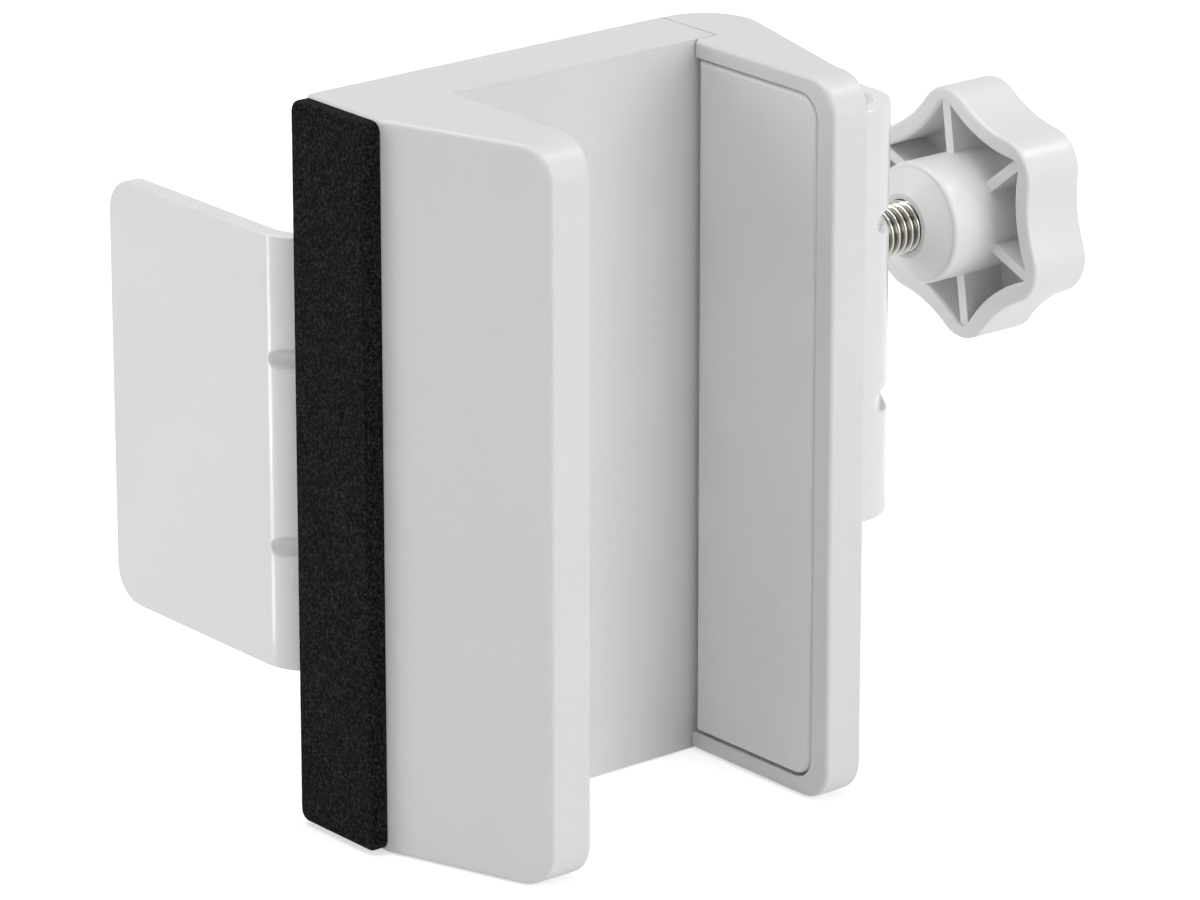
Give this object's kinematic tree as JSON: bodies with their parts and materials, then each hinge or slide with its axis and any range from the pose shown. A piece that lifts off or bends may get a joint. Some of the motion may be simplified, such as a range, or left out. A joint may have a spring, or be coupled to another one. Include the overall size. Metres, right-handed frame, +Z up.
{
  "type": "clamp-on panel holder",
  "caption": "Screw clamp with a painted steel U-frame carrying a tall plastic channel: a fixed jaw and a sliding jaw with soft pads grip a panel, and a star knob clamps an edge.",
  "frame": {"origin": "centre of the grip pad's face on the clamp screw's axis", "axes": "+X along the clamp screw from the grip pad towards the knob, +Y from the panel channel towards the clamp throat's open side, +Z up along the channel"},
  "size_m": [0.1521, 0.0873, 0.1],
  "materials": {
    "jaw_plastic": "fine moulded satin, light warm grey",
    "pad_grey": "smooth matt soft-touch sheet",
    "foam_black": "closed-cell foam, fine open speckle",
    "frame_paint": "smooth powder coat, half gloss",
    "knob_plastic": "moulded satin",
    "screw_steel": "rolled thread, bright",
    "zinc_steel": "bright zinc plate",
    "insert_brass": "turned",
    "grip_rubber": "ribbed matt rubber"
  },
  "bodies": {
    "frame": {"steel_frame": "frame_paint", "fixed_jaw_shell": "jaw_plastic", "fixed_jaw_back_cover": "jaw_plastic", "fixed_jaw_pad": "pad_grey", "foam_strip": "foam_black", "shell_inserts": "insert_brass", "shell_screws": "zinc_steel", "grip_pad": "grip_rubber", "clamp_nut": "zinc_steel"},
    "sliding_jaw": {"sliding_jaw_shell": "jaw_plastic", "sliding_jaw_pad": "pad_grey", "jaw_inserts": "insert_brass", "jaw_lock_screws": "zinc_steel", "jaw_lock_washers": "zinc_steel", "jaw_spring_washers": "zinc_steel"},
    "foot": {"pressure_foot": "zinc_steel", "foot_pad": "grip_rubber"},
    "screw": {"clamp_screw": "screw_steel", "foot_ring": "zinc_steel", "knob_insert": "insert_brass", "star_knob": "knob_plastic"}
  },
  "joints": [
    {"name": "jaw_slide", "type": "slide", "parent": "frame", "child": "sliding_jaw", "axis": [1, 0, 0], "range_m": [0, 0.026]},
    {"name": "foot_advance", "type": "slide", "parent": "frame", "child": "foot", "axis": [1, 0, 0], "range_m": [-0.0248, 0.0245]},
    {"name": "knob_turn", "type": "hinge", "parent": "foot", "child": "screw", "pos_m": [0.1023, 0, 0], "axis": [1, 0, 0], "range_deg": [-7143, 7057]}
  ],
  "couplings": [
    {"joint": "knob_turn", "follows": "foot_advance", "rad_per_m": 5026.5}
  ]
}
